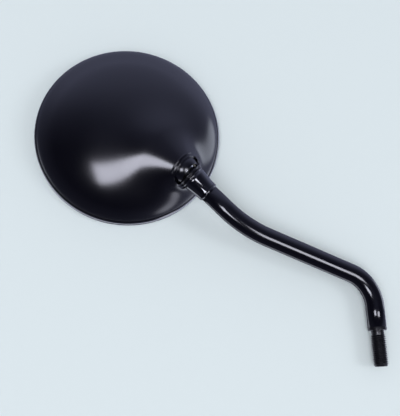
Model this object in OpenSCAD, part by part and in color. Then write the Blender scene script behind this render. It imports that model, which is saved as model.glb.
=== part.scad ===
// Round motorcycle mirror on a bent tube stem.
// The stem stands as it is screwed into a handlebar perch: the stud points down,
// the origin is at its shoulder, and the stem bends in the XZ plane towards -X.
// The head is drawn flat, glass down, and is then set on the ball of the stem.

/* [Stem] */
// Outer diameter of the stem tube
tube_d = 12.7; // [11:0.1:14]
// Wall of the stem tube
tube_wall = 1.6; // [1.2:0.1:2]
// Height of the lower bend's corner above the stud shoulder
lower_len = 33; // [28:1:60]
// Corner to corner length of the middle run
middle_len = 98; // [80:1:140]
// Upper bend's corner to the centre of the ball
upper_len = 57; // [50:1:80]
// Angle of the lower bend
lower_bend = 68; // [55:1:75]
// Angle of the upper bend, which turns back
upper_bend = 22; // [15:1:30]
// Centreline radius of the lower bend
lower_bend_r = 25; // [20:1:32]
// Centreline radius of the upper bend
upper_bend_r = 88; // [60:1:110]

/* [Mounting stud] */
// Thread diameter of the stud
stud_d = 10; // [8:1:12]
// Length of the stud below its shoulder
stud_len = 24; // [18:1:32]
// Length of the plain neck between shoulder and thread
relief_len = 3; // [2:0.5:5]
// Depth of that neck below the thread
relief_depth = 0.8; // [0.4:0.1:1.2]
// Thickness of the stud's shoulder under the tube
shoulder_t = 2; // [1:0.5:4]
// Chamfer at the tip of the stud
tip_chamfer = 1.2; // [0.6:0.1:2]
// Length of the plug that is pressed into the tube
stud_plug_len = 14; // [10:1:15]

/* [Ball joint] */
// Diameter of the ball
ball_d = 15; // [14:0.5:15.5]
// Diameter of the neck that carries the ball
neck_d = 6.4; // [5:0.2:6.6]
// Length of the ball's shank inside the tube
shank_len = 18; // [12:1:22]
// Distance from the ball's centre to the end of the tube
tube_gap = 15; // [14:0.5:17]
// Most that the stem leans from the nose's axis
lean_limit = 23; // [22:1:24]
// Wall of the nylon seats
seat_wall = 0.8; // [0.6:0.1:1]
// Wall of the housing's nose round the seats
nose_wall = 1.2; // [1:0.1:1.3]
// Running clearance on the ball and in the bore
run_gap = 0.05; // [0.03:0.01:0.08]
// Half angle of the mouth that the neck swings in
mouth_angle = 51; // [50:1:54]

/* [Collar and dust washer] */
// Length of the flared collar on the stem
collar_len = 16; // [13:0.5:20]
// Diameter of the collar's wide end
collar_wide_d = 17.4; // [16:0.2:18]
// Diameter of the collar's end bead
collar_end_d = 14.6; // [14.2:0.1:16]
// Thickness of the dust washer
washer_t = 0.6; // [0.5:0.1:0.8]
// Half angle that the dust washer covers
washer_angle = 56; // [50:1:58]
// Gap between parts that turn past each other
turn_gap = 0.3; // [0.3:0.05:0.4]

/* [Spring pack] */
// Depth of the bore behind the ball's centre
bore_len = 25; // [23:0.5:28]
// Wall of the boss round that bore
boss_wall = 2.6; // [2:0.1:3.5]
// Wire of the spring
wire_d = 1.4; // [1:0.1:1.6]
// Number of turns of the spring
spring_turns = 4; // [3:1:5]
// Thickness of the plate under the spring
plate_t = 1.2; // [1:0.1:1.6]
// Thickness of the cap that closes the bore
cap_t = 3.6; // [3:0.1:4.5]

/* [Housing] */
// Diameter over the rim
rim_d = 130; // [120:1:150]
// Height of the dome over the glass side
dome_h = 36.5; // [34:0.5:40]
// Height of the straight skirt at the rim
skirt_h = 5.2; // [5:0.1:6]
// Depth of the dome's widest level below the top of the skirt
dome_under = 7; // [4:0.5:10]
// Wall of the housing
shell_wall = 2; // [1.5:0.1:3]
// Distance of the ball inside the rim
ball_inset = 16; // [13:0.5:18]
// Height of the ball over the glass side
ball_up = 30; // [29.5:0.5:33]
// Angle by which the nose rises from the glass plane
nose_rise = 15; // [10:1:20]
// Length of the tapered nose from the ball to its root in the dome
flow_len = 26.8; // [24:0.2:30]
// Extra radius of the nose at its root
flow_r = 11; // [9:0.5:13]
// Angle by which the tapered nose rises out of the dome
flow_rise = 30; // [26:1:34]
// Width of the fillet between nose and dome
fillet_w = 25; // [20:1:28]
// Turn of the nose below the horizontal, seen from the dome side
nose_turn = 43.5; // [30:0.5:60]
// Yaw of the mirror about the stud's axis
head_yaw = 10; // [0:1:20]

/* [Rim and glass] */
// Depth of the rim bezel
bezel_h = 5.6; // [5.5:0.1:6.5]
// Wall of the rim bezel
bezel_wall = 1.2; // [1:0.1:1.5]
// Width of the bezel's lip over the glass
lip_w = 3.6; // [3:0.1:4.5]
// Thickness of that lip
lip_t = 1; // [0.8:0.1:1.4]
// Thickness of the glass
glass_t = 2; // [1.8:0.1:2.4]
// Radius of curvature of the convex glass
glass_r = 1200; // [1000:50:1600]
// Thickness of the reflective layer on the glass
silver_t = 0.1; // [0.1:0.05:0.2]
// Thickness of the foam pad behind the glass
foam_t = 1; // [0.8:0.1:1.2]
// Thickness of the backing plate
back_t = 1.6; // [1.4:0.1:2]
// Thickness of the rubber channel round the glass
gasket_t = 0.8; // [0.6:0.1:1]

/* [Screws] */
// Number of screws in the backing plate
screw_count = 3; // [3:1:4]
// Thread diameter of those screws
screw_d = 3; // [2.6:0.1:3.5]
// Length of the screws
screw_len = 9; // [8:0.5:10]
// Distance of the screws from the axis of the dome
screw_out = 44; // [42:0.5:46]
// Diameter of the bosses that take them
screw_boss_d = 7; // [6.4:0.2:8]

/* [Hidden] */
round_fn = 96;
small_fn = 48;
glass_fn = 2400;
touch = 0.01;

tube_r = tube_d / 2;
bore_r = tube_r - tube_wall;
plug_r = bore_r - run_gap;
plug_chamfer = 0.8;
shoulder_chamfer = 0.4;
ball_r = ball_d / 2;
neck_r = neck_d / 2;
// Radii about the ball's centre, from the ball outwards
seat_in = ball_r + run_gap;
seat_out = seat_in + seat_wall;
nose_in = seat_out + run_gap;
nose_r = nose_in + nose_wall;
washer_in = nose_r + turn_gap;
washer_out = washer_in + washer_t;
collar_in = washer_out + turn_gap;
// Spheres that the washer and the collar's edge sweep, and how far round the nose
washer_bead = 0.45;
washer_mid = washer_in + 0.1 + washer_bead;
washer_sweep_r = washer_mid + washer_bead + turn_gap;
washer_sweep = washer_angle + 4 + lean_limit;
collar_bead = 0.7;
collar_start = sqrt(pow(collar_in, 2) - pow(collar_wide_d / 2 - 1, 2));
collar_stop = collar_start + collar_len;
collar_edge = [collar_wide_d / 2 - collar_bead, collar_start + collar_bead];
collar_sweep_r = norm(collar_edge) + collar_bead + turn_gap;
collar_sweep = atan(collar_edge[0] / collar_edge[1]) + 5 + lean_limit;
collar_flank = [collar_wide_d / 2 - 0.3, collar_start + collar_len / 4];
flank_sweep_r = norm(collar_flank) + turn_gap;
flank_sweep = atan(collar_flank[0] / collar_flank[1]) + 10 + lean_limit;

// Corners of the stem's centreline in the XZ plane
upper_lean = lower_bend - upper_bend;
corner_low = [0, 0, lower_len];
corner_high = corner_low + middle_len * [-sin(lower_bend), 0, cos(lower_bend)];
ball_pt = corner_high + upper_len * [-sin(upper_lean), 0, cos(upper_lean)];
lower_cut = lower_bend_r * tan(lower_bend / 2);
upper_cut = upper_bend_r * tan(upper_bend / 2);

// Radii and heights inside the head, measured from the front of the rim
rim_r = rim_d / 2;
ball_out = rim_r - ball_inset;
in_bezel_r = rim_r - bezel_wall;
dome_r = in_bezel_r - run_gap;
glass_edge_r = dome_r - gasket_t;
glass_edge_h = lip_t + gasket_t;
glass_back_h = glass_edge_h + glass_t;
housing_h = glass_back_h + gasket_t;
silver_low = glass_back_h + run_gap;
silver_h = silver_low + silver_t;
back_h = silver_h + foam_t;
foam_r = glass_edge_r - 4;
back_r = foam_r + 1;
in_dome_r = dome_r - shell_wall;

// Placement of what is drawn about an axis of the joint
module on_stem() { translate(ball_pt) rotate([0, 180 - upper_lean, 0]) children(); }
module on_head() {
    translate(ball_pt) rotate([0, 0, -head_yaw]) rotate([90, 0, 0]) rotate([0, 0, -nose_turn])
        translate([-ball_out, 0, -ball_up]) children();
}
module on_nose() { translate([ball_out, 0, ball_up]) rotate([0, 90 - nose_rise, 0]) children(); }

module mount_stud() {
    color("#15161a") {
        rotate_extrude($fn = round_fn) polygon([
            [0, stud_plug_len], [plug_r - plug_chamfer, stud_plug_len],
            [plug_r, stud_plug_len - plug_chamfer],
            [plug_r, shoulder_t], [tube_r, shoulder_t], [tube_r, shoulder_chamfer],
            [tube_r - shoulder_chamfer, 0],
            [stud_d / 2 - relief_depth, 0], [stud_d / 2 - relief_depth, relief_depth - relief_len],
            [stud_d / 2, -relief_len], [stud_d / 2, tip_chamfer - stud_len],
            [stud_d / 2 - tip_chamfer, -stud_len], [0, -stud_len]]);
    }
}

// Stations of the tube's centreline in the XZ plane, each with the lean of the section there:
// a straight, the lower bend, a straight, the upper bend and a last straight
function lean_dir(a) = [-sin(a), 0, cos(a)];
function side_dir(a) = [cos(a), 0, sin(a)];
bend_step = 4;
low_steps = ceil(lower_bend / bend_step);
high_steps = ceil(upper_bend / bend_step * 1.5);
low_start = [0, 0, lower_len - lower_cut];
high_start = corner_high - upper_cut * lean_dir(lower_bend);
stations = concat([[[0, 0, shoulder_t], 0]],
    [for (k = [0:low_steps]) let (a = lower_bend * k / low_steps)
        [low_start + lower_bend_r * (side_dir(a) - side_dir(0)), a]],
    [for (k = [0:high_steps]) let (a = lower_bend - upper_bend * k / high_steps)
        [high_start - upper_bend_r * (side_dir(a) - side_dir(lower_bend)), a]],
    [[ball_pt - tube_gap * lean_dir(upper_lean), upper_lean]]);
tube_sides = 40;

// Tube along those stations: outer rings first, then the rings of the bore
module stem_tube() {
    last = len(stations) - 1;
    all_rings = last + 1;
    pts = [for (r = [tube_r, bore_r]) for (s = stations) for (j = [0:tube_sides - 1])
        let (b = 360 * j / tube_sides) s[0] + r * (cos(b) * side_dir(s[1]) + [0, sin(b), 0])];
    outer = [for (i = [0:last - 1], j = [0:tube_sides - 1]) let (n = (j + 1) % tube_sides, k = i * tube_sides)
        [k + j, k + tube_sides + j, k + tube_sides + n, k + n]];
    first_in = all_rings * tube_sides;
    inner = [for (f = outer) [for (v = [3:-1:0]) f[v] + first_in]];
    ends = [for (e = [0, 1], j = [0:tube_sides - 1]) let (n = (j + 1) % tube_sides, k = e * last * tube_sides,
        f = [k + j, k + n, k + n + first_in, k + j + first_in]) e == 0 ? f : [for (v = [3:-1:0]) f[v]]];
    color("#101116") polyhedron(points = pts, faces = concat(outer, inner, ends), convexity = 6);
}

module ball_stud() {
    color("#8d9096") on_stem() {
        sphere(r = ball_r, $fn = round_fn);
        cylinder(r = neck_r, h = tube_gap, $fn = round_fn);
        translate([0, 0, tube_gap]) cylinder(r = plug_r, h = shank_len, $fn = round_fn);
    }
}

// Flared collar: its wide end is hollowed to a sphere that clears the dust washer
module stem_collar() {
    wide_r = collar_wide_d / 2;
    end_r = collar_end_d / 2;
    waist_r = tube_r + 0.9;
    color("#0f1015") on_stem() rotate_extrude($fn = round_fn) difference() {
        polygon(concat(
            [[neck_r, collar_start - 4], [wide_r - 1, collar_start - 0.4]],
            [for (a = [-80:20:80]) [wide_r - 0.7 + 0.7 * cos(a), collar_start + 0.7 + 0.7 * sin(a)]],
            [for (k = [1:8]) let (s = k / 8)
                [waist_r + (wide_r - waist_r) * pow(1 - s, 1.6), collar_start + 1.6 + s * (collar_len - 4)]],
            [[waist_r, collar_stop - 2.2]],
            [for (a = [-60:30:60]) [end_r - 0.9 + 0.9 * cos(a), collar_stop - 1 + 0.9 * sin(a)]],
            [[waist_r, collar_stop], [neck_r, collar_stop]]));
        circle(r = collar_in, $fn = round_fn);
        translate([0, tube_gap]) square([tube_r, collar_stop]);
    }
}

module dust_washer() {
    color("#17181c") on_stem() rotate_extrude($fn = round_fn) difference() {
        union() {
            intersection() {
                difference() {
                    circle(r = washer_out, $fn = round_fn);
                    circle(r = washer_in, $fn = round_fn);
                }
                polygon([[0, 0], [40 * sin(washer_angle), 40 * cos(washer_angle)], [0, 40]]);
            }
            translate(washer_mid * [sin(washer_angle), cos(washer_angle)])
                circle(r = washer_bead, $fn = small_fn);
        }
        square([neck_r + run_gap, 40]);
    }
}

// Nylon half that the ball is pressed against
module front_seat() {
    color("#e6e3da") on_head() on_nose() rotate_extrude($fn = round_fn) difference() {
        union() {
            intersection() {
                circle(r = seat_out, $fn = round_fn);
                translate([0, 0]) square([seat_out, seat_out]);
            }
            translate([0, -2]) square([seat_out, 2 + touch]);
        }
        circle(r = seat_in, $fn = round_fn);
        translate([0, -3]) square([seat_in, 3]);
        polygon([[0, 0], [40 * sin(mouth_angle + 1), 40 * cos(mouth_angle + 1)], [0, 40]]);
    }
}

rear_top = -2.4;
rear_bottom = -seat_in - 1.6;
module rear_seat() {
    color("#e6e3da") on_head() on_nose() rotate_extrude($fn = round_fn) difference() {
        polygon([[2, rear_bottom], [seat_out - 0.6, rear_bottom], [seat_out, rear_bottom + 0.6],
            [seat_out, rear_top], [2, rear_top]]);
        circle(r = seat_in, $fn = round_fn);
    }
}

plate_bottom = rear_bottom - plate_t;
cap_top = -(bore_len - cap_t);
spring_r = seat_out - wire_d / 2 - 1.2;
guide_r = spring_r - wire_d / 2 - 0.3;
module spring_plate() {
    color("#a7a9ac") on_head() on_nose() {
        translate([0, 0, plate_bottom]) difference() {
            cylinder(r = seat_out, h = plate_t, $fn = round_fn);
            translate([0, 0, -1]) cylinder(r = 2, h = plate_t + 2, $fn = small_fn);
        }
        translate([0, 0, plate_bottom - 2]) difference() {
            cylinder(r = guide_r, h = 2, $fn = small_fn);
            translate([0, 0, -1]) cylinder(r = 2, h = 4, $fn = small_fn);
        }
    }
}

// Compression spring with closed ends, swept as one helix
function spring_z(s) = let (hi = plate_bottom - wire_d / 2 - 0.02, lo = cap_top + wire_d / 2 + 0.02,
    e = 0.5 / spring_turns, k = s < e ? 0 : s > 1 - e ? 1 : (s - e) / (1 - 2 * e)) hi + (lo - hi) * k;
spring_rings = spring_turns * 18;
spring_sides = 8;
module joint_spring() {
    pts = [for (i = [0:spring_rings]) let (s = i / spring_rings, a = 360 * spring_turns * s)
        for (j = [0:spring_sides - 1]) let (b = 360 * j / spring_sides, r = spring_r + wire_d / 2 * cos(b))
            [r * cos(a), r * sin(a), spring_z(s) + wire_d / 2 * sin(b)]];
    walls = [for (i = [0:spring_rings - 1], j = [0:spring_sides - 1]) let (n = (j + 1) % spring_sides)
        [i * spring_sides + j, i * spring_sides + n, (i + 1) * spring_sides + n, (i + 1) * spring_sides + j]];
    ends = [[for (j = [spring_sides - 1:-1:0]) j],
        [for (j = [0:spring_sides - 1]) spring_rings * spring_sides + j]];
    color("#b9bbbe") on_head() on_nose() polyhedron(points = pts, faces = concat(walls, ends), convexity = 6);
}

// Screwed cap that closes the bore, with a hexagon recess
module bore_cap() {
    color("#9a9ca0") on_head() on_nose() translate([0, 0, -bore_len]) difference() {
        cylinder(r = nose_in, h = cap_t, $fn = round_fn);
        translate([0, 0, -1]) cylinder(r = 3.2, h = cap_t - 0.2, $fn = 6);
    }
}

// Field that is negative inside the housing: a round dome and a tapered nose, blended.
// The dome is part of an ellipsoid whose widest level lies below the skirt.
dome_low = skirt_h - dome_under;
dome_rise = dome_h - dome_low;
dome_wide = dome_r / sqrt(1 - pow(dome_under / dome_rise, 2));
flow_axis = [cos(flow_rise), 0, sin(flow_rise)];
nose_pt = [ball_out, 0, ball_up];
taper = flow_r / flow_len;
function dome_field(p) = let (
    z = max(p[2] - dome_low, 0), q = [p[0] / dome_wide, p[1] / dome_wide, z / dome_rise],
    k0 = norm(q), k1 = norm([q[0] / dome_wide, q[1] / dome_wide, q[2] / dome_rise]))
    max(k0 * (k0 - 1) / max(k1, 1e-6), norm([p[0], p[1]]) - dome_r);
function nose_field(p) = let (
    v = p - nose_pt, back = -(v * flow_axis), off = norm(v + back * flow_axis),
    s = min(max(back + off * taper / sqrt(1 - taper * taper), 0), flow_len), c = nose_pt - s * flow_axis)
    norm(p - c) - nose_r - taper * s;
function blend(a, b) = let (h = max(fillet_w - abs(a - b), 0) / fillet_w) min(a, b) - pow(h, 3) * fillet_w / 6;
function outer_field(p) = blend(dome_field(p), nose_field(p));
// Distance from the base point to the skin along a direction, by halving
base_pt = [rim_r / 4, 0, housing_h];
near_skin = 5;
far_skin = 2 * rim_r;
halvings = 16;
function skin(u, lo, hi, n) = n == 0 ? (lo + hi) / 2 :
    let (m = (lo + hi) / 2) outer_field(base_pt + m * u) < 0 ? skin(u, m, hi, n - 1) : skin(u, lo, m, n - 1);
// Bead round the nose, just behind what the washer sweeps
nose_bead = 0.8;
nose_bead_at = washer_sweep + 5;
skin_cols = 80;
skin_rows = 32;
module outer_skin() {
    rings = [for (i = [0:skin_rows - 1]) let (e = 90 * i / skin_rows) for (j = [0:skin_cols - 1])
        let (a = 360 * j / skin_cols, u = [cos(a) * cos(e), sin(a) * cos(e), sin(e)])
            base_pt + skin(u, near_skin, far_skin, halvings) * u];
    pole = base_pt + skin([0, 0, 1], near_skin, far_skin, halvings) * [0, 0, 1];
    last = skin_rows * skin_cols;
    pts = concat(rings, [pole, base_pt]);
    faces = concat(
        [for (i = [0:skin_rows - 2], j = [0:skin_cols - 1]) let (n = (j + 1) % skin_cols)
            [i * skin_cols + j, (i + 1) * skin_cols + j, (i + 1) * skin_cols + n]],
        [for (i = [0:skin_rows - 2], j = [0:skin_cols - 1]) let (n = (j + 1) % skin_cols)
            [i * skin_cols + j, (i + 1) * skin_cols + n, i * skin_cols + n]],
        [for (j = [0:skin_cols - 1]) let (k = (skin_rows - 1) * skin_cols) [k + j, last, k + (j + 1) % skin_cols]],
        [for (j = [0:skin_cols - 1]) [(j + 1) % skin_cols, last + 1, j]]);
    polyhedron(points = pts, faces = faces, convexity = 8);
}

// Hollow of the dome, which leaves the boss of the ball's bore and the screw bosses standing
module cavity() {
    in_rise = dome_rise - shell_wall;
    in_wide = dome_wide - shell_wall;
    first = asin((skirt_h - dome_low) / in_rise);
    difference() {
        rotate_extrude($fn = round_fn) polygon(concat(
            [[0, housing_h - 1], [in_dome_r, housing_h - 1], [in_dome_r, skirt_h - 0.2]],
            [for (k = [0:16]) let (a = first + (90 - first) * k / 16)
                [in_wide * cos(a), dome_low + in_rise * sin(a)]]));
        on_nose() translate([0, 0, -bore_len]) cylinder(r = nose_in + boss_wall, h = 60, $fn = round_fn);
        at_screws() translate([0, 0, boss_h]) cylinder(d = screw_boss_d, h = 60, $fn = small_fn);
    }
}

// Part of a ball about the joint that lies within an angle of the nose's axis
module swept(r, angle) {
    rotate_extrude($fn = round_fn) difference() {
        intersection() {
            circle(r = r, $fn = round_fn);
            polygon([[0, 0], [2 * r * sin(angle), 2 * r * cos(angle)], [2 * r, 2 * r], [0, 2 * r]]);
        }
        circle(r = nose_r, $fn = round_fn);
    }
}

// One moulding: dome, nose, boss of the bore and screw bosses
module housing() {
    color("#0e0f14") on_head() difference() {
        union() {
            difference() {
                outer_skin();
                cavity();
                on_nose() {
                    swept(washer_sweep_r, washer_sweep);
                    swept(collar_sweep_r, collar_sweep);
                    swept(flank_sweep_r, flank_sweep);
                }
            }
            on_nose() rotate_extrude($fn = round_fn)
                translate([(nose_r + 0.4) * sin(nose_bead_at), (nose_r + 0.4) * cos(nose_bead_at)])
                    circle(r = nose_bead, $fn = small_fn);
        }
        on_nose() {
            sphere(r = nose_in, $fn = round_fn);
            translate([0, 0, -bore_len - 1]) cylinder(r = nose_in, h = bore_len + 1, $fn = round_fn);
            rotate_extrude($fn = round_fn)
                polygon([[0, 0], [40 * sin(mouth_angle), 40 * cos(mouth_angle)], [0, 40]]);
        }
        at_screws() translate([0, 0, housing_h]) cylinder(r = screw_d / 2 + run_gap,
            h = head_h - housing_h + screw_len + 0.5, $fn = small_fn);
    }
}

// Ring that grips the glass and the edge of the housing, with a rolled outer edge
module rim_bezel() {
    edge_r = 0.6;
    foot_r = 1.1;
    color("#111217") on_head() rotate_extrude($fn = round_fn * 2) {
        translate([rim_r - lip_w, 0]) square([lip_w - foot_r, lip_t]);
        translate([in_bezel_r, foot_r]) square([bezel_wall, bezel_h - edge_r - foot_r]);
        translate([in_bezel_r + edge_r, bezel_h - edge_r]) circle(r = edge_r, $fn = small_fn);
        translate([in_bezel_r, bezel_h - edge_r]) square([edge_r, edge_r]);
        intersection() {
            translate([rim_r - foot_r, foot_r]) circle(r = foot_r, $fn = small_fn);
            translate([rim_r - foot_r, 0]) square([foot_r, foot_r]);
        }
    }
}

// Rubber channel round the edge of the glass
module glass_gasket() {
    color("#1c1d20") on_head() rotate_extrude($fn = round_fn * 2) difference() {
        translate([rim_r - lip_w, lip_t]) square([dome_r - rim_r + lip_w, housing_h - lip_t]);
        translate([rim_r - lip_w - 1, bulge(rim_r - lip_w, glass_edge_h)])
            square([glass_edge_r - rim_r + lip_w + 1, glass_back_h - bulge(rim_r - lip_w, glass_edge_h)]);
    }
}

// Height at radius r of a face that follows the glass and lies at edge_h at its edge
edge_rise = sqrt(glass_r * glass_r - glass_edge_r * glass_edge_r);
function bulge(r, edge_h) = edge_h + edge_rise - sqrt(glass_r * glass_r - r * r);
// Disc between two such faces
module curved_disc(r, low, high) {
    rotate_extrude($fn = round_fn * 2) difference() {
        intersection() {
            translate([0, low - 5]) square([r, high - low + 10]);
            translate([0, low + edge_rise]) circle(r = glass_r, $fn = glass_fn);
        }
        translate([0, high + edge_rise]) circle(r = glass_r, $fn = glass_fn);
    }
}

// Places of the screws, and the heights of their heads and of the bosses over the plate
module at_screws() {
    for (k = [0:screw_count - 1]) rotate([0, 0, 180 + 360 * k / screw_count])
        translate([screw_out, 0, 0]) children();
}
head_r = screw_d * 0.95;
head_h = bulge(screw_out + head_r, back_h);
boss_h = bulge(screw_out + screw_boss_d / 2, back_h + back_t);

module mirror_glass() {
    color("#cfd8dc") on_head() curved_disc(glass_edge_r, glass_edge_h, glass_back_h);
}

module mirror_silver() {
    color("#e8ecee") on_head() curved_disc(foam_r + 0.6, silver_low, silver_h);
}

module foam_pad() {
    color("#2b2c2e") on_head() curved_disc(foam_r, silver_h, back_h);
}

module backing_plate() {
    color("#35373a") on_head() difference() {
        curved_disc(back_r, back_h, back_h + back_t);
        at_screws() {
            cylinder(r = screw_d / 2 + run_gap, h = 2 * back_h, $fn = small_fn);
            translate([0, 0, head_h - 1]) cylinder(r = head_r + run_gap, h = 1, $fn = small_fn);
            translate([0, 0, head_h]) cylinder(r1 = head_r + run_gap, r2 = screw_d / 2 + run_gap,
                h = head_r - screw_d / 2, $fn = small_fn);
        }
    }
}

// Countersunk screws, each with a cross recess
module plate_screws() {
    color("#9fa1a4") on_head() at_screws() translate([0, 0, head_h]) difference() {
        union() {
            cylinder(r1 = head_r, r2 = screw_d / 2, h = head_r - screw_d / 2, $fn = small_fn);
            cylinder(r = screw_d / 2, h = screw_len, $fn = small_fn);
        }
        for (a = [0, 90]) rotate([0, 0, a]) translate([-1.5, -0.3, -1]) cube([3, 0.6, 2]);
    }
}

mount_stud();
stem_tube();
ball_stud();
stem_collar();
dust_washer();
front_seat();
rear_seat();
spring_plate();
joint_spring();
bore_cap();
housing();
rim_bezel();
glass_gasket();
mirror_glass();
mirror_silver();
foam_pad();
backing_plate();
plate_screws();
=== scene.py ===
# %% [markdown]
# # A round motorcycle mirror
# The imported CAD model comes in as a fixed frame. Pieces that show are modelled again here at a
# finer grain, each exactly where the CAD says, and every other part gets its own finish.
# All places are written in millimetres, as on the drawing, and are turned into metres once.

# %% Load the frame
import bpy
import math
import numpy as np
from mathutils import Matrix, Vector


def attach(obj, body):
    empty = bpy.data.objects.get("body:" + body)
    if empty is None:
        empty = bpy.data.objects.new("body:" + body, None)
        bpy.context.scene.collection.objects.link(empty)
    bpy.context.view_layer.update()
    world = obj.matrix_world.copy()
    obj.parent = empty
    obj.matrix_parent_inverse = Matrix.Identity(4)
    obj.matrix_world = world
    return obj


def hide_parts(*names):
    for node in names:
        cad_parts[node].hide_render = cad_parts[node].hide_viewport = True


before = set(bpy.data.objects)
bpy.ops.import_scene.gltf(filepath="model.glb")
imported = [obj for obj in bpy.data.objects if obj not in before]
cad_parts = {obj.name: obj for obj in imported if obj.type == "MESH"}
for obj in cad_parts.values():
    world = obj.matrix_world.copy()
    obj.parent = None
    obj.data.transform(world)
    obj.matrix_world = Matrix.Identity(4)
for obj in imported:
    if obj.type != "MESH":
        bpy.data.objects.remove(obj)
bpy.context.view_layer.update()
MM = 0.001
print("nodes:", sorted(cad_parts))

# %% [markdown]
# ## Measures
# The numbers below repeat the drawing. The mirror's head has its own local frame: the glass side
# lies on the XY plane, Z points out of the dome, and X points along the nose. Two more frames sit
# on the ball: one runs down the stem, the other out of the nose. What must fit is worked out from
# its neighbour and a named gap, from the ball outwards, so the pieces can't drift apart.

# %% Measures of the stem, the joint and the head
tube_r, tube_wall = 6.35, 1.6
lower_len, middle_len, upper_len = 33.0, 98.0, 57.0
lower_bend, upper_bend = 68.0, 22.0
lower_bend_r, upper_bend_r = 25.0, 88.0
upper_lean = lower_bend - upper_bend
stud_r, stud_len, relief_len, relief_depth = 5.0, 24.0, 3.0, 0.8
shoulder_t, tip_chamfer, stud_plug_len = 2.0, 1.2, 14.0
ball_r, neck_r, tube_gap = 7.5, 3.2, 15.0
run_gap, turn_gap = 0.05, 0.3
seat_wall, nose_wall, washer_t = 0.8, 1.2, 0.6
seat_in = ball_r + run_gap
nose_in = seat_in + seat_wall + run_gap
nose_r = nose_in + nose_wall
washer_in = nose_r + turn_gap
washer_out = washer_in + washer_t
collar_in = washer_out + turn_gap
washer_angle, lean_limit, mouth_angle = 56.0, 23.0, 51.0
rim_r, bezel_h, bezel_wall, lip_w, lip_t = 65.0, 5.6, 1.2, 3.6, 1.0
dome_h, skirt_h, dome_under, shell_wall = 36.5, 5.2, 7.0, 2.0
ball_inset, ball_up, nose_rise, nose_turn, head_yaw = 16.0, 30.0, 15.0, 43.5, 10.0
ball_out = rim_r - ball_inset
flow_len, flow_r, flow_rise, fillet_w = 26.8, 11.0, 30.0, 25.0
dome_r = rim_r - bezel_wall - run_gap
gasket_t, glass_t, glass_r = 0.8, 2.0, 1200.0
glass_edge_r = dome_r - gasket_t
glass_edge_h = lip_t + gasket_t
glass_back_h = glass_edge_h + glass_t
housing_h = glass_back_h + gasket_t


def lean_dir(degrees):
    """The way up along a run of the stem that leans so far towards -X."""
    a = math.radians(degrees)
    return Vector((-math.sin(a), 0, math.cos(a)))


corner_low = Vector((0, 0, lower_len))
corner_high = corner_low + middle_len * lean_dir(lower_bend)
ball_pt = corner_high + upper_len * lean_dir(upper_lean)


def turn(degrees, axis):
    return Matrix.Rotation(math.radians(degrees), 4, axis)


on_stem = Matrix.Translation(ball_pt) @ turn(180 - upper_lean, "Y")
on_head = (Matrix.Translation(ball_pt) @ turn(-head_yaw, "Z") @ turn(90, "X") @ turn(-nose_turn, "Z")
           @ Matrix.Translation((-ball_out, 0, -ball_up)))
on_nose = on_head @ Matrix.Translation((ball_out, 0, ball_up)) @ turn(90 - nose_rise, "Y")
print("ball centre, mm:", [round(c, 2) for c in ball_pt])

# %% [markdown]
# ## Camera
# The lens and the place of the camera were solved from the outline of the rim and the corners of
# the stem in the photograph. The view looks almost straight down on the dome.

# %% Camera
photo_w, photo_h = 400, 416
focal_px = 720.0
sensor_w = 36.0
near_clip, far_clip = 0.01, 20.0
cam_at = Vector((-256.469, -439.229, -38.175)) * MM
look_right = Vector((0.958458, -0.281414, -0.046527))
look_down = Vector((0.028416, 0.256512, -0.966123))
look_out = Vector((0.283815, 0.924666, 0.253852))
camera_data = bpy.data.cameras.new("photo_camera")
camera_data.sensor_width = sensor_w
camera_data.lens = sensor_w * focal_px / max(photo_w, photo_h)
camera_data.clip_start, camera_data.clip_end = near_clip, far_clip
camera = bpy.data.objects.new("photo_camera", camera_data)
camera.matrix_world = Matrix.Translation(cam_at) @ Matrix(
    (look_right, -look_down, -look_out)).transposed().to_4x4()
bpy.context.scene.collection.objects.link(camera)
bpy.context.scene.camera = camera
print("lens, mm:", round(camera_data.lens, 2))

# %% [markdown]
# ## Modelling by hand, in code
# A turned piece starts as a ring of points, one for each corner of its section. The ring is
# bent to the section and spun round its axis. The section is written as radius and height. The
# doubles at the seam and the poles are merged afterwards, and the normals are made to look out.

# %% Helpers for new pieces
merge_at = 1e-7


def make_active(piece):
    bpy.ops.object.select_all(action="DESELECT")
    piece.select_set(True)
    bpy.context.view_layer.objects.active = piece


def tidy_mesh(piece, smooth_angle=35):
    make_active(piece)
    bpy.ops.object.mode_set(mode="EDIT")
    bpy.ops.mesh.select_all(action="SELECT")
    bpy.ops.mesh.remove_doubles(threshold=merge_at)
    bpy.ops.mesh.dissolve_degenerate(threshold=merge_at)
    bpy.ops.mesh.normals_make_consistent(inside=False)
    bpy.ops.object.mode_set(mode="OBJECT")
    bpy.ops.object.shade_smooth_by_angle(angle=math.radians(smooth_angle))


def ring_of_points(name, section):
    """A closed ring whose points are moved to the section, in the XZ plane, in metres."""
    bpy.ops.object.select_all(action="DESELECT")
    bpy.ops.mesh.primitive_circle_add(vertices=len(section), radius=stud_r * MM)
    piece = bpy.context.object
    piece.name = piece.data.name = name
    for vertex, (r, z) in zip(piece.data.vertices, section):
        vertex.co = (r * MM, 0, z * MM)
    return piece


def turned(name, section, steps=144, place=None, smooth_angle=35):
    """A section of radius and height, spun once round the Z axis and put in its place."""
    piece = ring_of_points(name, section)
    make_active(piece)
    bpy.ops.object.mode_set(mode="EDIT")
    bpy.ops.mesh.select_all(action="SELECT")
    bpy.ops.mesh.spin(steps=steps, angle=2 * math.pi, center=(0, 0, 0), axis=(0, 0, 1))
    bpy.ops.object.mode_set(mode="OBJECT")
    tidy_mesh(piece, smooth_angle)
    if place is not None:
        set_place(piece, place)
    return piece


def set_place(piece, place):
    """Moves the mesh, not the object, to a place that is given in millimetres."""
    scaled = place.copy()
    scaled.translation = place.translation * MM
    piece.data.transform(scaled)
    piece.data.update()


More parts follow.
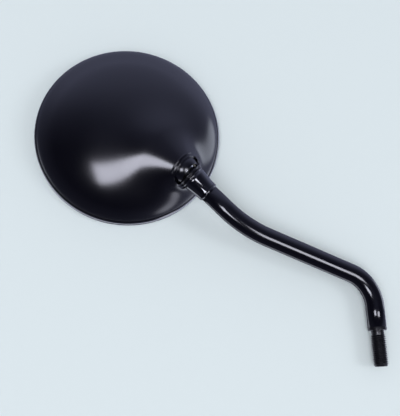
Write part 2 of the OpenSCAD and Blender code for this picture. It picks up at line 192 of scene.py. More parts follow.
def arc(centre, radius, first, last, count):
    """Points on an arc, angles in degrees from the +r direction."""
    return [(centre[0] + radius * math.cos(math.radians(first + (last - first) * k / count)),
             centre[1] + radius * math.sin(math.radians(first + (last - first) * k / count)))
            for k in range(count + 1)]


def polar(radius, first, last, count):
    """Points round the ball's centre, angles in degrees from the axis."""
    return arc((0, 0), radius, 90 - first, 90 - last, count)


def round_section(centre, radius):
    """A full circle as a section, for a ring with a round rim."""
    return arc(centre, radius, 0, 350, 35)


def apply_boolean(piece, cutter, operation):
    """Joins the cutter to a piece, or cuts it away, and removes the cutter."""
    make_active(piece)
    step = piece.modifiers.new("step", "BOOLEAN")
    step.operation = operation
    step.solver = "EXACT"
    step.object = cutter
    bpy.ops.object.modifier_apply(modifier=step.name)
    bpy.data.objects.remove(cutter, do_unlink=True)


# %% [markdown]
# ## Housing
# The housing is one moulding: a shallow elliptic dome with a nose that flows out of it. A shape
# like this has no simple section, so a globe of points is pushed out from inside, each point
# along its own ray, until it meets a blend of the two forms. The globe has more points towards
# the nose, where the skin bends most.

# %% Field of the housing's skin
dome_low = skirt_h - dome_under
dome_rise = dome_h - dome_low
dome_wide = dome_r / math.sqrt(1 - (dome_under / dome_rise) ** 2)
flow_axis = np.array([math.cos(math.radians(flow_rise)), 0, math.sin(math.radians(flow_rise))])
nose_pt = np.array([ball_out, 0, ball_up])
taper = flow_r / flow_len
base_pt = np.array([rim_r / 4, 0, housing_h])
near_skin, far_skin, halvings = 5.0, 2 * rim_r, 26
print("dome, mm: wide", round(dome_wide, 2), "rise", round(dome_rise, 2))


def skin_field(p):
    """Distance from the blend of dome and nose in millimetres, below zero inside."""
    size = np.array([dome_wide, dome_wide, dome_rise])
    q = np.stack([p[:, 0], p[:, 1], np.maximum(p[:, 2] - dome_low, 0)], 1) / size
    k0 = np.linalg.norm(q, axis=1)
    k1 = np.maximum(np.linalg.norm(q / size, axis=1), 1e-6)
    dome = np.maximum(k0 * (k0 - 1) / k1, np.hypot(p[:, 0], p[:, 1]) - dome_r)
    back = -(p - nose_pt) @ flow_axis
    off = np.linalg.norm(p - nose_pt + back[:, None] * flow_axis, axis=1)
    along = np.clip(back + off * taper / math.sqrt(1 - taper ** 2), 0, flow_len)
    spine = nose_pt - along[:, None] * flow_axis
    nose = np.linalg.norm(p - spine, axis=1) - nose_r - taper * along
    near = np.maximum(fillet_w - np.abs(dome - nose), 0) / fillet_w
    return np.minimum(dome, nose) - near ** 3 * fillet_w / 6


def push_to_skin(directions):
    """Halves the stretch between a point inside and one outside until it ends on the skin."""
    low = np.full(len(directions), near_skin)
    high = np.full(len(directions), far_skin)
    for _ in range(halvings):
        middle = (low + high) / 2
        inside = skin_field(base_pt + middle[:, None] * directions) < 0
        low = np.where(inside, middle, low)
        high = np.where(inside, high, middle)
    return base_pt + low[:, None] * directions


# %% The globe of points, pushed out to the skin
globe_around, globe_up = 320, 256
crowded_to_nose = 0.55
bpy.ops.object.select_all(action="DESELECT")
bpy.ops.mesh.primitive_uv_sphere_add(segments=globe_around, ring_count=globe_up, radius=1.0)
housing = bpy.context.object
housing.name = housing.data.name = "housing_shell"
make_active(housing)
bpy.ops.object.mode_set(mode="EDIT")
bpy.ops.mesh.select_all(action="SELECT")
bpy.ops.mesh.bisect(plane_co=(0, 0, 0), plane_no=(0, 0, 1), use_fill=True, clear_inner=True)
bpy.ops.object.mode_set(mode="OBJECT")
globe = np.array([v.co for v in housing.data.vertices], float)
azimuth = np.arctan2(globe[:, 1], globe[:, 0])
azimuth = azimuth - crowded_to_nose * np.sin(azimuth)
flat = np.hypot(globe[:, 0], globe[:, 1])
rays = np.stack([flat * np.cos(azimuth), flat * np.sin(azimuth), np.maximum(globe[:, 2], 0)], 1)
rays /= np.linalg.norm(rays, axis=1)[:, None]
skin = push_to_skin(rays)
for vertex, co in zip(housing.data.vertices, skin):
    vertex.co = Vector(co) * MM
housing.data.update()
print("skin points:", len(skin), "height, mm:", round(float(skin[:, 2].max()), 2))

# %% [markdown]
# ## Inside of the housing
# The same moulding is hollow. On the real one the core of the mould makes the hollow; here it is
# turned as a tool and cut away, less the boss that stays round the joint. The bore of the joint
# and the round rooms that the washer and the collar swing in are cut the same way. Each room is
# as wide as its piece and a gap, and reaches as far as the joint leans. Two rings are added: a
# small lip round the mouth of the nose, and the bead at its very edge.

# %% How far the washer and the collar swing
washer_bead, washer_float = 0.45, 0.1
washer_spare, collar_spare, flank_spare = 4, 5, 10
washer_mid = washer_in + washer_float + washer_bead
washer_sweep_r = washer_mid + washer_bead + turn_gap
washer_sweep = washer_angle + washer_spare + lean_limit
collar_wide_r, collar_end_r, collar_len, collar_bead = 8.7, 7.3, 16.0, 0.7
collar_mouth_r, flank_in = collar_wide_r - 1, 0.3
collar_start = math.sqrt(collar_in ** 2 - collar_mouth_r ** 2)
collar_stop = collar_start + collar_len
collar_edge = (collar_wide_r - collar_bead, collar_start + collar_bead)
collar_sweep_r = math.hypot(*collar_edge) + collar_bead + turn_gap
collar_sweep = math.degrees(math.atan(collar_edge[0] / collar_edge[1])) + collar_spare + lean_limit
collar_flank = (collar_wide_r - flank_in, collar_start + collar_len / 4)
flank_sweep_r = math.hypot(*collar_flank) + turn_gap
flank_sweep = math.degrees(math.atan(collar_flank[0] / collar_flank[1])) + flank_spare + lean_limit
print("swing, degrees:", [round(a, 1) for a in (washer_sweep, collar_sweep, flank_sweep)])

# %% The hollow, and the boss that stays in it
in_dome_r = dome_r - shell_wall
in_rise = dome_rise - shell_wall
in_wide = dome_wide - shell_wall
in_first = math.asin((skirt_h - dome_low) / in_rise)
bore_len, boss_wall, boss_top = 25.0, 2.6, 35.0
tool_over, skirt_step = 1.0, 0.2
head_to_nose = on_head.inverted() @ on_nose
inner_steps = 32
inner_turns = [in_first + (math.pi / 2 - in_first) * k / inner_steps for k in range(inner_steps + 1)]
hollow = turned("hollow", [(0, housing_h - tool_over), (in_dome_r, housing_h - tool_over),
                           (in_dome_r, skirt_h - skirt_step)]
                + [(in_wide * math.cos(a), dome_low + in_rise * math.sin(a)) for a in inner_turns])
boss_r = nose_in + boss_wall
boss = turned("boss", [(0, -bore_len), (boss_r, -bore_len), (boss_r, boss_top), (0, boss_top)],
              place=head_to_nose)
apply_boolean(hollow, boss, "DIFFERENCE")
apply_boolean(housing, hollow, "DIFFERENCE")
print("wall points:", len(housing.data.vertices))

# %% The lip, the rooms, the bead and the bore
skim = 0.03
lip_mid, lip_thick = (11.05, -1.5), 0.8
mouth_lip = turned("mouth_lip", round_section(lip_mid, lip_thick), place=head_to_nose)
apply_boolean(housing, mouth_lip, "UNION")
room = turned("room", polar(nose_r - skim, 0, washer_sweep, 64)
              + polar(washer_sweep_r, washer_sweep, collar_sweep, 8)
              + polar(collar_sweep_r, collar_sweep, flank_sweep, 8)
              + polar(flank_sweep_r, flank_sweep, 0, 48), place=head_to_nose)
apply_boolean(housing, room, "DIFFERENCE")
nose_bead, nose_bead_at = 0.8, math.radians(washer_sweep + 5)
bead_out = nose_r + nose_bead / 2
bead_mid = (bead_out * math.sin(nose_bead_at), bead_out * math.cos(nose_bead_at))
bead = turned("bead", round_section(bead_mid, nose_bead), place=head_to_nose)
apply_boolean(housing, bead, "UNION")
past_nose = nose_r + 2 * tool_over
mouth_top = past_nose * math.cos(math.radians(mouth_angle))
mouth_r = past_nose * math.sin(math.radians(mouth_angle))
bore_end = -bore_len - tool_over
throat = turned("throat", [(0, bore_end), (nose_in, bore_end), (nose_in, 0)]
                + polar(nose_in, 90, mouth_angle, 16)[1:] + [(mouth_r, mouth_top), (0, mouth_top)],
                place=head_to_nose)
apply_boolean(housing, throat, "DIFFERENCE")
set_place(housing, on_head)
tidy_mesh(housing, 30)
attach(housing, "head")
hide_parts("housing")
print("housing triangles:", sum(len(p.vertices) - 2 for p in housing.data.polygons))

# %% [markdown]
# ## Stem tube
# The real stem is a straight tube that is bent twice round formers. It is made here the same
# way: a circle is pulled along the first straight, spun round the first former, pulled again,
# and spun back round the second. A Solidify gives the wall, inwards.

# %% Stem tube
tube_points, lower_steps, upper_steps = 72, 34, 20
bpy.ops.object.select_all(action="DESELECT")
bpy.ops.mesh.primitive_circle_add(vertices=tube_points, radius=tube_r * MM,
                                  location=(0, 0, shoulder_t * MM))
stem = bpy.context.object
stem.name = stem.data.name = "stem_tube_bent"
bpy.ops.object.transform_apply(location=True, rotation=False, scale=False)
lower_cut = lower_bend_r * math.tan(math.radians(lower_bend / 2))
upper_cut = upper_bend_r * math.tan(math.radians(upper_bend / 2))
runs = [(0.0, lower_len - lower_cut - shoulder_t),
        (lower_bend, middle_len - lower_cut - upper_cut),
        (upper_lean, upper_len - upper_cut - tube_gap)]
low_start = Vector((0, 0, lower_len - lower_cut))
low_former = low_start - lower_bend_r * Vector((1, 0, 0))
high_start = corner_high - upper_cut * lean_dir(lower_bend)
side = Vector((math.cos(math.radians(lower_bend)), 0, math.sin(math.radians(lower_bend))))
high_former = high_start + upper_bend_r * side
make_active(stem)
bpy.ops.object.mode_set(mode="EDIT")
bpy.ops.mesh.select_all(action="SELECT")
bpy.ops.mesh.extrude_region_move(
    TRANSFORM_OT_translate={"value": runs[0][1] * MM * lean_dir(runs[0][0])})
bpy.ops.mesh.spin(steps=lower_steps, angle=math.radians(lower_bend), center=low_former * MM,
                  axis=(0, 1, 0))
bpy.ops.mesh.extrude_region_move(
    TRANSFORM_OT_translate={"value": runs[1][1] * MM * lean_dir(runs[1][0])})
bpy.ops.mesh.spin(steps=upper_steps, angle=-math.radians(upper_bend), center=high_former * MM,
                  axis=(0, 1, 0))
bpy.ops.mesh.extrude_region_move(
    TRANSFORM_OT_translate={"value": runs[2][1] * MM * lean_dir(runs[2][0])})
bpy.ops.object.mode_set(mode="OBJECT")
tidy_mesh(stem, 40)
wall = stem.modifiers.new("wall", "SOLIDIFY")
wall.thickness = tube_wall * MM
wall.offset = -1.0
bpy.ops.object.modifier_apply(modifier="wall")
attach(stem, "stem")
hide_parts("stem_tube")
stem_box = np.array([v.co for v in stem.data.vertices]) / MM
print("stem box, mm:", stem_box.min(0).round(2), stem_box.max(0).round(2))

# %% [markdown]
# ## Mounting stud
# The stud is a turned blank with a rolled M10 thread, 1.25 mm pitch. The thread is one section of
# the groove, drawn along a helix by the Screw modifier, and bisected where it starts and ends.
# Towards the tip it is brought down to the chamfer's cone.

# %% Groove of the thread, wound up the stud
pitch = 1.25
depth_for_pitch = 0.6134
root_r = stud_r - depth_for_pitch * pitch
ease_r, ease_h = stud_r - 0.04, 0.05
crest_low, crest_high = pitch * 9 / 16, pitch * 11 / 16
groove = [(root_r, 0.0), (root_r, pitch / 4), (ease_r, crest_low - ease_h), (stud_r, crest_low),
          (stud_r, crest_high), (ease_r, crest_high + ease_h), (root_r, pitch)]
thread = ring_of_points("stud_thread", [(r, z - stud_len - 2 * pitch) for r, z in groove])
make_active(thread)
closing = [e for e in thread.data.edges if set(e.vertices) == {0, len(groove) - 1}][0].index
bpy.ops.object.mode_set(mode="EDIT")
bpy.ops.mesh.select_mode(type="EDGE")
bpy.ops.mesh.select_all(action="DESELECT")
bpy.ops.object.mode_set(mode="OBJECT")
thread.data.edges[closing].select = True
bpy.ops.object.mode_set(mode="EDIT")
bpy.ops.mesh.delete(type="EDGE")
bpy.ops.object.mode_set(mode="OBJECT")
thread_steps, weld = 48, 1e-6
helix = thread.modifiers.new("helix", "SCREW")
helix.screw_offset = pitch * MM
helix.iterations = int((stud_len + 4 * pitch) / pitch) + 1
helix.steps = helix.render_steps = thread_steps
helix.use_merge_vertices = True
helix.merge_threshold = weld
bpy.ops.object.modifier_apply(modifier="helix")
print("thread points:", len(thread.data.vertices))

# %% The thread cut to length, and its tip and neck
bpy.ops.object.mode_set(mode="EDIT")
bpy.ops.mesh.select_mode(type="VERT")
bpy.ops.mesh.select_all(action="SELECT")
bpy.ops.mesh.remove_doubles(threshold=2 * weld)
bpy.ops.mesh.bisect(plane_co=(0, 0, -stud_len * MM), plane_no=(0, 0, 1), use_fill=True,
                    clear_inner=True)
bpy.ops.mesh.select_all(action="SELECT")
bpy.ops.mesh.bisect(plane_co=(0, 0, -relief_len * MM), plane_no=(0, 0, 1), use_fill=True,
                    clear_outer=True)
bpy.ops.object.mode_set(mode="OBJECT")
waist = stud_r - relief_depth
neck_slope = 1.2
for vertex in thread.data.vertices:
    r = math.hypot(vertex.co.x, vertex.co.y)
    tip_limit = (stud_r - tip_chamfer) * MM + (vertex.co.z + stud_len * MM)
    neck_limit = waist * MM + (-relief_len * MM - vertex.co.z) * neck_slope
    limit = min(tip_limit, neck_limit)
    if r > limit:
        vertex.co.x *= limit / r
        vertex.co.y *= limit / r
tidy_mesh(thread, 32)
print("thread triangles:", sum(len(p.vertices) - 2 for p in thread.data.polygons))

# %% Shoulder, neck and plug of the stud
plug_r = tube_r - tube_wall - run_gap
neck_fillet, shoulder_edge, plug_chamfer = 0.35, 0.4, 0.8
core_r, core_low = waist - 0.3, -relief_len - 0.6
stud = turned("stud_turned", [(0, core_low), (core_r, core_low), (waist, -relief_len)]
              + [(waist, -neck_fillet)]
              + arc((waist + neck_fillet, -neck_fillet), neck_fillet, 180, 90, 5)
              + [(tube_r - shoulder_edge, 0)]
              + arc((tube_r - shoulder_edge, shoulder_edge), shoulder_edge, -90, 0, 5)
              + [(tube_r, shoulder_t), (plug_r, shoulder_t), (plug_r, stud_plug_len - plug_chamfer),
                 (plug_r - plug_chamfer, stud_plug_len), (0, stud_plug_len)], steps=2 * thread_steps)
make_active(stud)
thread.select_set(True)
bpy.ops.object.join()
print("stud triangles:", sum(len(p.vertices) - 2 for p in stud.data.polygons))
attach(stud, "stem")
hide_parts("mount_stud")

# %% [markdown]
# ## Collar, washer and ball
# Between stem and nose sit a flared collar with a rolled end, and a thin rubber washer that slides
# over the nose and keeps the dirt out. The washer's edge is thickened and rounded, and one fine
# rib runs round it under the collar. All of them are turned, so each is one section, spun.

# %% Collar
waist_r = tube_r + 0.9
flare_steps, flare_power, flare_low, flare_short = 24, 1.6, 1.6, 4
end_bead, end_bead_in, end_bead_foot = 0.9, 1.0, 1.95
end_chamfer_r, end_chamfer_h = 0.25, 0.2
collar_inner = polar(collar_in, math.degrees(math.asin(neck_r / collar_in)),
                     math.degrees(math.asin(collar_mouth_r / collar_in)), 16)
collar_section = (
    collar_inner
    + arc(collar_edge, collar_bead, -80, 80, 14)
    + [(waist_r + (collar_wide_r - waist_r) * (1 - k / flare_steps) ** flare_power,
        collar_start + flare_low + k / flare_steps * (collar_len - flare_short))
       for k in range(2, flare_steps + 1)]
    + [(waist_r, collar_stop - end_bead_foot)]
    + arc((collar_end_r - end_bead, collar_stop - end_bead_in), end_bead, -60, 60, 14)
    + [(tube_r + end_chamfer_r, collar_stop), (tube_r, collar_stop - end_chamfer_h),
       (tube_r, tube_gap), (neck_r, tube_gap)])
collar = turned("collar_flared", collar_section, place=on_stem)
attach(collar, "stem")
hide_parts("stem_collar")
print("collar from the ball, mm:", round(collar_start, 2), "to", round(collar_stop, 2))

# %% Washer
bead_centre = (washer_mid * math.sin(math.radians(washer_angle)),
               washer_mid * math.cos(math.radians(washer_angle)))
rib_angle, rib_thick, rib_half, rib_over = 48.8, 0.36, 2.1, 0.1
rib_out = washer_out + rib_over
rib_centre = (rib_out * math.sin(math.radians(rib_angle)), rib_out * math.cos(math.radians(rib_angle)))
rib_turns = [rib_angle + t for t in (75, 50, 25, 0, -25, -50, -75)]
bead_first, bead_last = 250 - washer_angle, 470 - washer_angle
skin_in, skin_out = washer_angle - 2.6, washer_angle - 2.4
hole_in = math.degrees(math.asin((neck_r + run_gap) / washer_in))
hole_out = math.degrees(math.asin((neck_r + run_gap) / washer_out))
washer_section = (polar(washer_in, hole_in, skin_in, 20)
                  + arc(bead_centre, washer_bead, bead_first, bead_last, 16)
                  + polar(washer_out, skin_out, rib_angle + rib_half, 3)
                  + [(rib_centre[0] + rib_thick * math.sin(math.radians(t)),
                      rib_centre[1] + rib_thick * math.cos(math.radians(t))) for t in rib_turns]
                  + polar(washer_out, rib_angle - rib_half, hole_out, 18))
washer = turned("washer_rubber_ring", washer_section, place=on_stem)
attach(washer, "washer")
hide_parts("dust_washer")
print("washer, mm: inside radius", round(washer_in, 2), "outside", round(washer_out, 2))

# %% Ball stud, pressed into the tube
neck_meets = math.degrees(math.asin(neck_r / ball_r))
shank_len, shank_chamfer = 18.0, 0.6
shank_end = tube_gap + shank_len
ball = turned("ball_and_shank", polar(ball_r, 180, neck_meets, 48)
              + [(neck_r, tube_gap), (plug_r, tube_gap), (plug_r, shank_end - shank_chamfer),
                 (plug_r - shank_chamfer, shank_end), (0, shank_end)], place=on_stem)
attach(ball, "stem")
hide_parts("ball_stud")
print("ball and shank, mm:", round(ball_r + shank_end, 2), "long")

# %% [markdown]
# ## Rim and glass
# The bezel is a rolled ring that holds the glass and grips the housing. Its outer wall draws in
# towards the housing, and that slope carries the fine bright line round the disc. The glass is a
# slice of a large sphere with ground edges. Both are turned. The rubber channel between them
# hardly shows, so its CAD node stays.

# %% Rim
in_bezel_r = rim_r - bezel_wall
disc_steps = 256
foot_r, lip_edge, crimp = 1.1, 0.25, 0.08
drawn_in = [(0.0, 2.9), (0.05, 3.5), (0.17, 4.1), (0.36, 4.65), (0.6, 5.1), (0.88, 5.45)]
bezel_section = ([(rim_r - lip_w + lip_edge, 0)] + arc((rim_r - foot_r, foot_r), foot_r, -90, 0, 12)
                 + [(rim_r - inwards, height) for inwards, height in drawn_in]
                 + [(in_bezel_r + crimp, bezel_h), (in_bezel_r, lip_t), (rim_r - lip_w, lip_t),
                    (rim_r - lip_w, lip_edge)])
bezel = turned("rim_ring", bezel_section, steps=disc_steps, place=on_head)
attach(bezel, "head")
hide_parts("rim_bezel")
print("rim, mm:", 2 * rim_r, "across,", bezel_h, "high")

# %% Glass
edge_rise = math.sqrt(glass_r ** 2 - glass_edge_r ** 2)


def bulge(r, edge_h):
    """Height of the glass at a radius, when its edge is at a given height."""
    return edge_h + edge_rise - math.sqrt(glass_r ** 2 - r * r)


glass_steps, ground = 24, 0.25
glass_radii = [glass_edge_r * k / glass_steps for k in range(glass_steps)]
front = [(r, bulge(r, glass_edge_h)) for r in glass_radii]
back = [(r, bulge(r, glass_back_h)) for r in glass_radii]
ground_edge = [(glass_edge_r - ground, glass_edge_h), (glass_edge_r, glass_edge_h + ground),
               (glass_edge_r, glass_back_h - ground), (glass_edge_r - ground, glass_back_h)]
glass = turned("glass_disc", front + ground_edge + back[::-1], steps=disc_steps, place=on_head,
               smooth_angle=20)
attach(glass, "head")
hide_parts("mirror_glass")
print("glass, mm:", round(2 * glass_edge_r, 1), "across, hollow by", round(-bulge(0, 0), 2))

# %% [markdown]
# ## Finishes
# Each finish is a Principled surface with its own grain: a noise varies its roughness, and a
# finer one lifts the surface a few hundredths of a millimetre. Object coordinates are used, so the
# grain has the same size on every piece and stays with it.

# %% Helper for finishes
cloud_size, cloud_detail, fine_detail = 12, 6.0, 3.0
cloud_low, cloud_high = 0.3, 0.7
bump_strength, least_roughness = 0.35, 0.02


def finish(name, colour, roughness, spread=0.05, grain=900.0, lift=0.02, tint=0.15, **sockets):
    """A Principled material whose colour and roughness vary a little, with a fine bump."""
    material = bpy.data.materials.new(name)
    material.use_nodes = True
    nodes, links = material.node_tree.nodes, material.node_tree.links
    shader = nodes["Principled BSDF"]
    place = nodes.new("ShaderNodeTexCoord")
    cloud = nodes.new("ShaderNodeTexNoise")
    cloud.inputs["Scale"].default_value = grain / cloud_size
    cloud.inputs["Detail"].default_value = cloud_detail
    fine = nodes.new("ShaderNodeTexNoise")
    fine.inputs["Scale"].default_value = grain
    fine.inputs["Detail"].default_value = fine_detail
    links.new(place.outputs["Object"], cloud.inputs["Vector"])
    links.new(place.outputs["Object"], fine.inputs["Vector"])
    shade = nodes.new("ShaderNodeMix")
    shade.data_type = "RGBA"
    shade.inputs["A"].default_value = (*[c * (1 - tint) for c in colour], 1)
    shade.inputs["B"].default_value = (*[min(c * (1 + tint), 1) for c in colour], 1)
    links.new(cloud.outputs["Fac"], shade.inputs["Factor"])
    links.new(shade.outputs["Result"], shader.inputs["Base Color"])
    rough = nodes.new("ShaderNodeMapRange")
    rough.inputs["From Min"].default_value = cloud_low
    rough.inputs["From Max"].default_value = cloud_high
    rough.inputs["To Min"].default_value = max(roughness - spread, least_roughness)
    rough.inputs["To Max"].default_value = min(roughness + spread, 1.0)
    links.new(cloud.outputs["Fac"], rough.inputs["Value"])
    links.new(rough.outputs["Result"], shader.inputs["Roughness"])
    bump = nodes.new("ShaderNodeBump")
    bump.inputs["Strength"].default_value = bump_strength
    bump.inputs["Distance"].default_value = lift * MM
    links.new(fine.outputs["Fac"], bump.inputs["Height"])
    links.new(bump.outputs["Normal"], shader.inputs["Normal"])
    for socket, value in sockets.items():
        shader.inputs[socket.replace("_", " ")].default_value = value
    return material


def dress(piece, material):
    """Gives a piece one finish, in place of what it came with."""
    piece.data.materials.clear()
    piece.data.materials.append(material)


# %% [markdown]
# ## The blacks and the rest
# Moulding, paint, collar and rim are all gloss black, and differ in how sharp and how strong
# their reflections are: the rim's lacquer is the hardest, the moulding's skin the softest. The
# stud is zinc with a black coat, duller and coarser. What lies inside gets plain trade finishes.

# %% Finishes of the pieces that show
deep_black = (0.0023, 0.0023, 0.0055)
gloss = finish("gloss_black_moulding", deep_black, 0.2, spread=0.02, grain=420, lift=0.003, IOR=1.5)
paint = finish("gloss_black_paint", deep_black, 0.15, spread=0.02, grain=500, lift=0.0015, IOR=1.5)
dress(housing, gloss)
dress(stem, paint)
dress(stud, finish("black_zinc", (0.006, 0.006, 0.009), 0.3, grain=1500, lift=0.012, tint=0.3))
dress(collar, finish("collar_gloss", deep_black, 0.1, grain=600, lift=0.004,
                     Coat_Weight=0.8, Coat_Roughness=0.05))
dress(washer, finish("black_rubber", (0.004, 0.004, 0.006), 0.2, grain=1400, lift=0.008))
dress(ball, finish("ground_steel", (0.52, 0.53, 0.55), 0.2, grain=1600, lift=0.01, Metallic=1.0))
dress(bezel, finish("bezel_gloss", deep_black, 0.14, grain=700, lift=0.003,
                    IOR=1.9, Coat_Weight=1.0, Coat_IOR=1.9, Coat_Roughness=0.06))
dress(glass, finish("clear_glass", (0.96, 0.98, 0.98), 0.03, spread=0.01, grain=300, lift=0.0005,
                    tint=0.01, Transmission_Weight=1.0, IOR=1.5))
print("finishes that show:", len(bpy.data.materials))

# %% Finishes of the CAD nodes that stay
node_finishes = {
    "front_seat": finish("white_nylon", (0.72, 0.70, 0.64), 0.5, grain=1100, Subsurface_Weight=0.05),
    "spring_plate": finish("zinc_sheet", (0.55, 0.56, 0.58), 0.38, grain=1200, Metallic=1.0),
    "joint_spring": finish("spring_wire", (0.42, 0.43, 0.45), 0.3, grain=2200, Metallic=1.0),
    "bore_cap": finish("cast_zinc", (0.45, 0.46, 0.47), 0.5, grain=1500, lift=0.04, Metallic=0.9),
    "glass_gasket": finish("gasket_black", (0.02, 0.02, 0.022), 0.55, grain=1300, lift=0.03),
    "mirror_silver": finish("silver_layer", (0.93, 0.94, 0.95), 0.03, spread=0.01, grain=300,
                            lift=0.0005, tint=0.01, Metallic=1.0),
    "foam_pad": finish("grey_foam", (0.05, 0.052, 0.055), 0.9, grain=2500, lift=0.2),
    "backing_plate": finish("grained_plastic", (0.045, 0.047, 0.05), 0.55, grain=1800, lift=0.06),
    "plate_screws": finish("zinc_screws", (0.5, 0.51, 0.53), 0.35, grain=1600, Metallic=1.0),
}
node_finishes["rear_seat"] = node_finishes["front_seat"]
for name, material in node_finishes.items():
    dress(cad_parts[name], material)
print("finishes:", len(bpy.data.materials))

# %% [markdown]
# ## Studio
# Gloss black shows little but what it reflects, so the room matters more than the lamps. The
# camera sees a world of the table's pale colour, and diffuse rays get one even grey. Glossy rays
# get a room of their own. It is a sum of soft ramps, each over one direction: the dim room, a
# lighter wall beyond the top of the picture and one at its right, the lit table close to the rim,
# and two small glows where the hollow flanks of the nose gather light. Directions are given from
# the table, as the picture shows it: right, up, and out of the table towards the eye.

# %% Directions over the table
picture_turn = math.radians(40.1)
table_right = on_head.to_3x3() @ Vector((math.cos(picture_turn), math.sin(picture_turn), 0))
table_up = on_head.to_3x3() @ Vector((-math.sin(picture_turn), math.cos(picture_turn), 0))
table_out = on_head.to_3x3() @ Vector((0, 0, 1))
disc_mid = on_head @ Vector((0, 0, 0))


def over_table(x, y, z):
    """A point given from the disc's centre: right and up in the photograph, and off the table."""
    return (disc_mid + x * table_right + y * table_up + z * table_out) * MM


def on_table(azimuth, elevation):
    """A direction from the table's right, its up and its height, in degrees."""
    a, e = math.radians(azimuth), math.radians(elevation)
    return math.cos(e) * (math.cos(a) * table_right + math.sin(a) * table_up) + math.sin(e) * table_out


print("out of the table:", table_out.to_tuple(3))

# %% Helpers for the world's ramps
pale = (0.716, 0.799, 0.847, 1)
world = bpy.data.worlds.new("pale_studio")
bpy.context.scene.world = world
world.use_nodes = True
wn, wl = world.node_tree.nodes, world.node_tree.links
wn.clear()
direction = wn.new("ShaderNodeTexCoord")


def toward(axis):
    """How far a ray goes along an axis, from 0 straight against it to 1 straight along it."""
    dot = wn.new("ShaderNodeVectorMath")
    dot.operation = "DOT_PRODUCT"
    dot.inputs[1].default_value = axis
    wl.new(direction.outputs["Generated"], dot.inputs[0])
    half = wn.new("ShaderNodeMath")
    half.operation = "MULTIPLY_ADD"
    half.inputs[1].default_value = half.inputs[2].default_value = 0.5
    wl.new(dot.outputs["Value"], half.inputs[0])
    return half.outputs["Value"]


def ramp(source, stops, tint=(0.91, 0.97, 1.45)):
    """Brightness over one value, from a list of position and brightness, with one tint."""
    node = wn.new("ShaderNodeValToRGB")
    elements = node.color_ramp.elements
    while len(elements) < len(stops):
        elements.new(0.5)
    for element, (spot, level) in zip(elements, stops):
        element.position = spot
        element.color = (*[level * c for c in tint], 1)
    wl.new(source, node.inputs["Fac"])
    return node.outputs["Color"]


def combined(kind, one, other):
    """Two colours multiplied or added."""
    node = wn.new("ShaderNodeMix")
    node.data_type = "RGBA"
    node.blend_type = kind
    node.inputs["Factor"].default_value = 1.0
    wl.new(one, node.inputs["A"])
    wl.new(other, node.inputs["B"])
    return node.outputs["Result"]


# %% The room that glossy rays see
grey, table_tint = (1, 1, 1), (0.95, 1, 1.15)
saddle_tint, fillet_tint = (0.9, 0.97, 1.1), (0.93, 0.95, 1.1)
out_of_table, up_table, right_table = toward(table_out), toward(table_up), toward(table_right)
room_levels = [(0.0, 0.08), (0.4, 0.08), (0.52, 0.05), (0.6, 0.015), (0.85, 0.015), (0.95, 0.06),
               (1.0, 0.15)]
far_levels = [(0.5, 0), (0.625, 0.06), (0.725, 0.18), (0.825, 0.42), (0.9, 0.58), (1.0, 0.64)]
far_fades = [(0.1, 0.15), (0.3, 0.35), (0.45, 0.7), (0.52, 1)]
right_levels = [(0.5, 0), (0.7, 0.08), (0.85, 0.22), (1.0, 0.32)]
right_fades = [(0.42, 1), (0.5, 0.55), (0.6, 0.2), (0.75, 0.0)]
table_levels = [(0.0, 0.02), (0.04, 0.05), (0.075, 1.2), (0.15, 1.35), (0.185, 0.05), (0.21, 0)]
table_fades = [(0.5, 1), (0.6, 0.3), (0.66, 0)]
saddle_way, saddle_levels = on_table(17, -18), [(0.982, 0), (0.992, 1.9)]
fillet_way, fillet_levels = on_table(-53, -18), [(0.992, 0), (0.997, 2.6)]
room_light = ramp(out_of_table, room_levels)
far_wall = combined("MULTIPLY", ramp(up_table, far_levels), ramp(out_of_table, far_fades, grey))
right_wall = combined("MULTIPLY", ramp(right_table, right_levels), ramp(out_of_table, right_fades, grey))
lit_table = combined("MULTIPLY", ramp(out_of_table, table_levels, table_tint),
                     ramp(up_table, table_fades, grey))
saddle_glow = ramp(toward(saddle_way), saddle_levels, saddle_tint)
fillet_glow = ramp(toward(fillet_way), fillet_levels, fillet_tint)
for part in (far_wall, right_wall, lit_table, saddle_glow, fillet_glow):
    room_light = combined("ADD", room_light, part)
print("world nodes so far:", len(wn))

# %% One world for each kind of ray
even_grey = (0.49, 0.49, 0.49, 1)
ray = wn.new("ShaderNodeLightPath")
glossy = wn.new("ShaderNodeBackground")
wl.new(room_light, glossy.inputs["Color"])
plain = wn.new("ShaderNodeBackground")
plain.inputs["Color"].default_value = pale
even = wn.new("ShaderNodeBackground")
even.inputs["Color"].default_value = even_grey
first = wn.new("ShaderNodeMixShader")
second = wn.new("ShaderNodeMixShader")
out = wn.new("ShaderNodeOutputWorld")
wl.new(ray.outputs["Is Glossy Ray"], first.inputs["Fac"])
wl.new(even.outputs["Background"], first.inputs[1])
wl.new(glossy.outputs["Background"], first.inputs[2])
seen = wn.new("ShaderNodeMath")
seen.operation = "MAXIMUM"
wl.new(ray.outputs["Is Camera Ray"], seen.inputs[0])
wl.new(ray.outputs["Is Transmission Ray"], seen.inputs[1])
wl.new(seen.outputs["Value"], second.inputs["Fac"])
wl.new(first.outputs["Shader"], second.inputs[1])
wl.new(plain.outputs["Background"], second.inputs[2])
wl.new(second.outputs["Shader"], out.inputs["Surface"])
print("world nodes:", len(wn))

# %% [markdown]
# ## Lamps
# Two soft windows are there for reflections alone: one draws the long highlight over dome and
# nose, the other the streak on the stem. Two softboxes do the opposite: they light the table and
# throw the shadow, and no reflection shows them. All stand four metres off, so that the table is
# lit evenly.

# %% Lamps


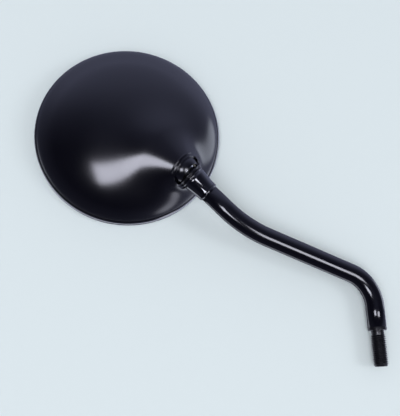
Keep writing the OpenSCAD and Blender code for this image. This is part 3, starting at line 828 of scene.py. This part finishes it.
def lamp(name, at, size, power, target=(30, -20, 20), **seen_by):
    data = bpy.data.lights.new(name, "AREA")
    data.shape = "RECTANGLE"
    data.size, data.size_y = size[0] * MM, size[1] * MM
    data.energy = power
    made = bpy.data.objects.new(name, data)
    made.location = over_table(*at)
    made.rotation_mode = "QUATERNION"
    made.rotation_quaternion = (over_table(*target) - made.location).to_track_quat("-Z", "Y")
    bpy.context.scene.collection.objects.link(made)
    for kind, value in seen_by.items():
        setattr(made, "visible_" + kind, value)
    return made


def along(azimuth, elevation, distance=4000):
    """A place so far from the disc's centre, by the angles that on_table uses."""
    a, e = math.radians(azimuth), math.radians(elevation)
    flat_way = distance * math.cos(e)
    return (flat_way * math.cos(a), flat_way * math.sin(a), distance * math.sin(e))


stem_mid = (110, -75, 10)
window = lamp("window_reflection", along(-123.3, 55.3), (1340, 1520), 98.0, diffuse=False)
window.data.color = (0.85, 0.865, 1.0)
strip = lamp("stem_strip", along(-55, 54), (1450, 1450), 85.0, target=stem_mid, diffuse=False)
strip.data.color = (0.87, 0.88, 1.0)
lamp("main_softbox", along(-120, 66), (2400, 2400), 78.0, glossy=False)
lamp("side_softbox", along(-10, 40), (1140, 1140), 24.5, glossy=False)
print("lamps:", len(bpy.data.lights))

# %% [markdown]
# ## Table
# The table is one plane just under the rim. Its front is matt and pale. From behind it is clear,
# so the part can be turned over and its glass seen. Reflections don't see it, because the world
# above already holds the table that the gloss shows.

# %% Table
table_size, table_drop = 3.0, 0.5
bpy.ops.object.select_all(action="DESELECT")
bpy.ops.mesh.primitive_plane_add(size=table_size)
table = bpy.context.object
table.name = table.data.name = "table_plane"
table.data.transform(Matrix.Translation((0, 0, -table_drop * MM)))
set_place(table, on_head)
table_top = bpy.data.materials.new("pale_table_top")
table_top.use_nodes = True
tn, tl = table_top.node_tree.nodes, table_top.node_tree.links
tn.clear()
matt = tn.new("ShaderNodeBsdfDiffuse")
matt.inputs["Color"].default_value = pale
facing = tn.new("ShaderNodeNewGeometry")
clear = tn.new("ShaderNodeBsdfTransparent")
either = tn.new("ShaderNodeMixShader")
surface = tn.new("ShaderNodeOutputMaterial")
tl.new(facing.outputs["Backfacing"], either.inputs["Fac"])
tl.new(matt.outputs["BSDF"], either.inputs[1])
tl.new(clear.outputs["BSDF"], either.inputs[2])
tl.new(either.outputs["Shader"], surface.inputs["Surface"])
dress(table, table_top)
table.visible_glossy = False
table.visible_diffuse = False
table.visible_transmission = False
print("table, metres:", table_size, "wide,", table_drop, "mm under the rim")

# %% [markdown]
# ## View
# The view is set to Standard.

# %% Finish
bpy.context.scene.view_settings.view_transform = "Standard"
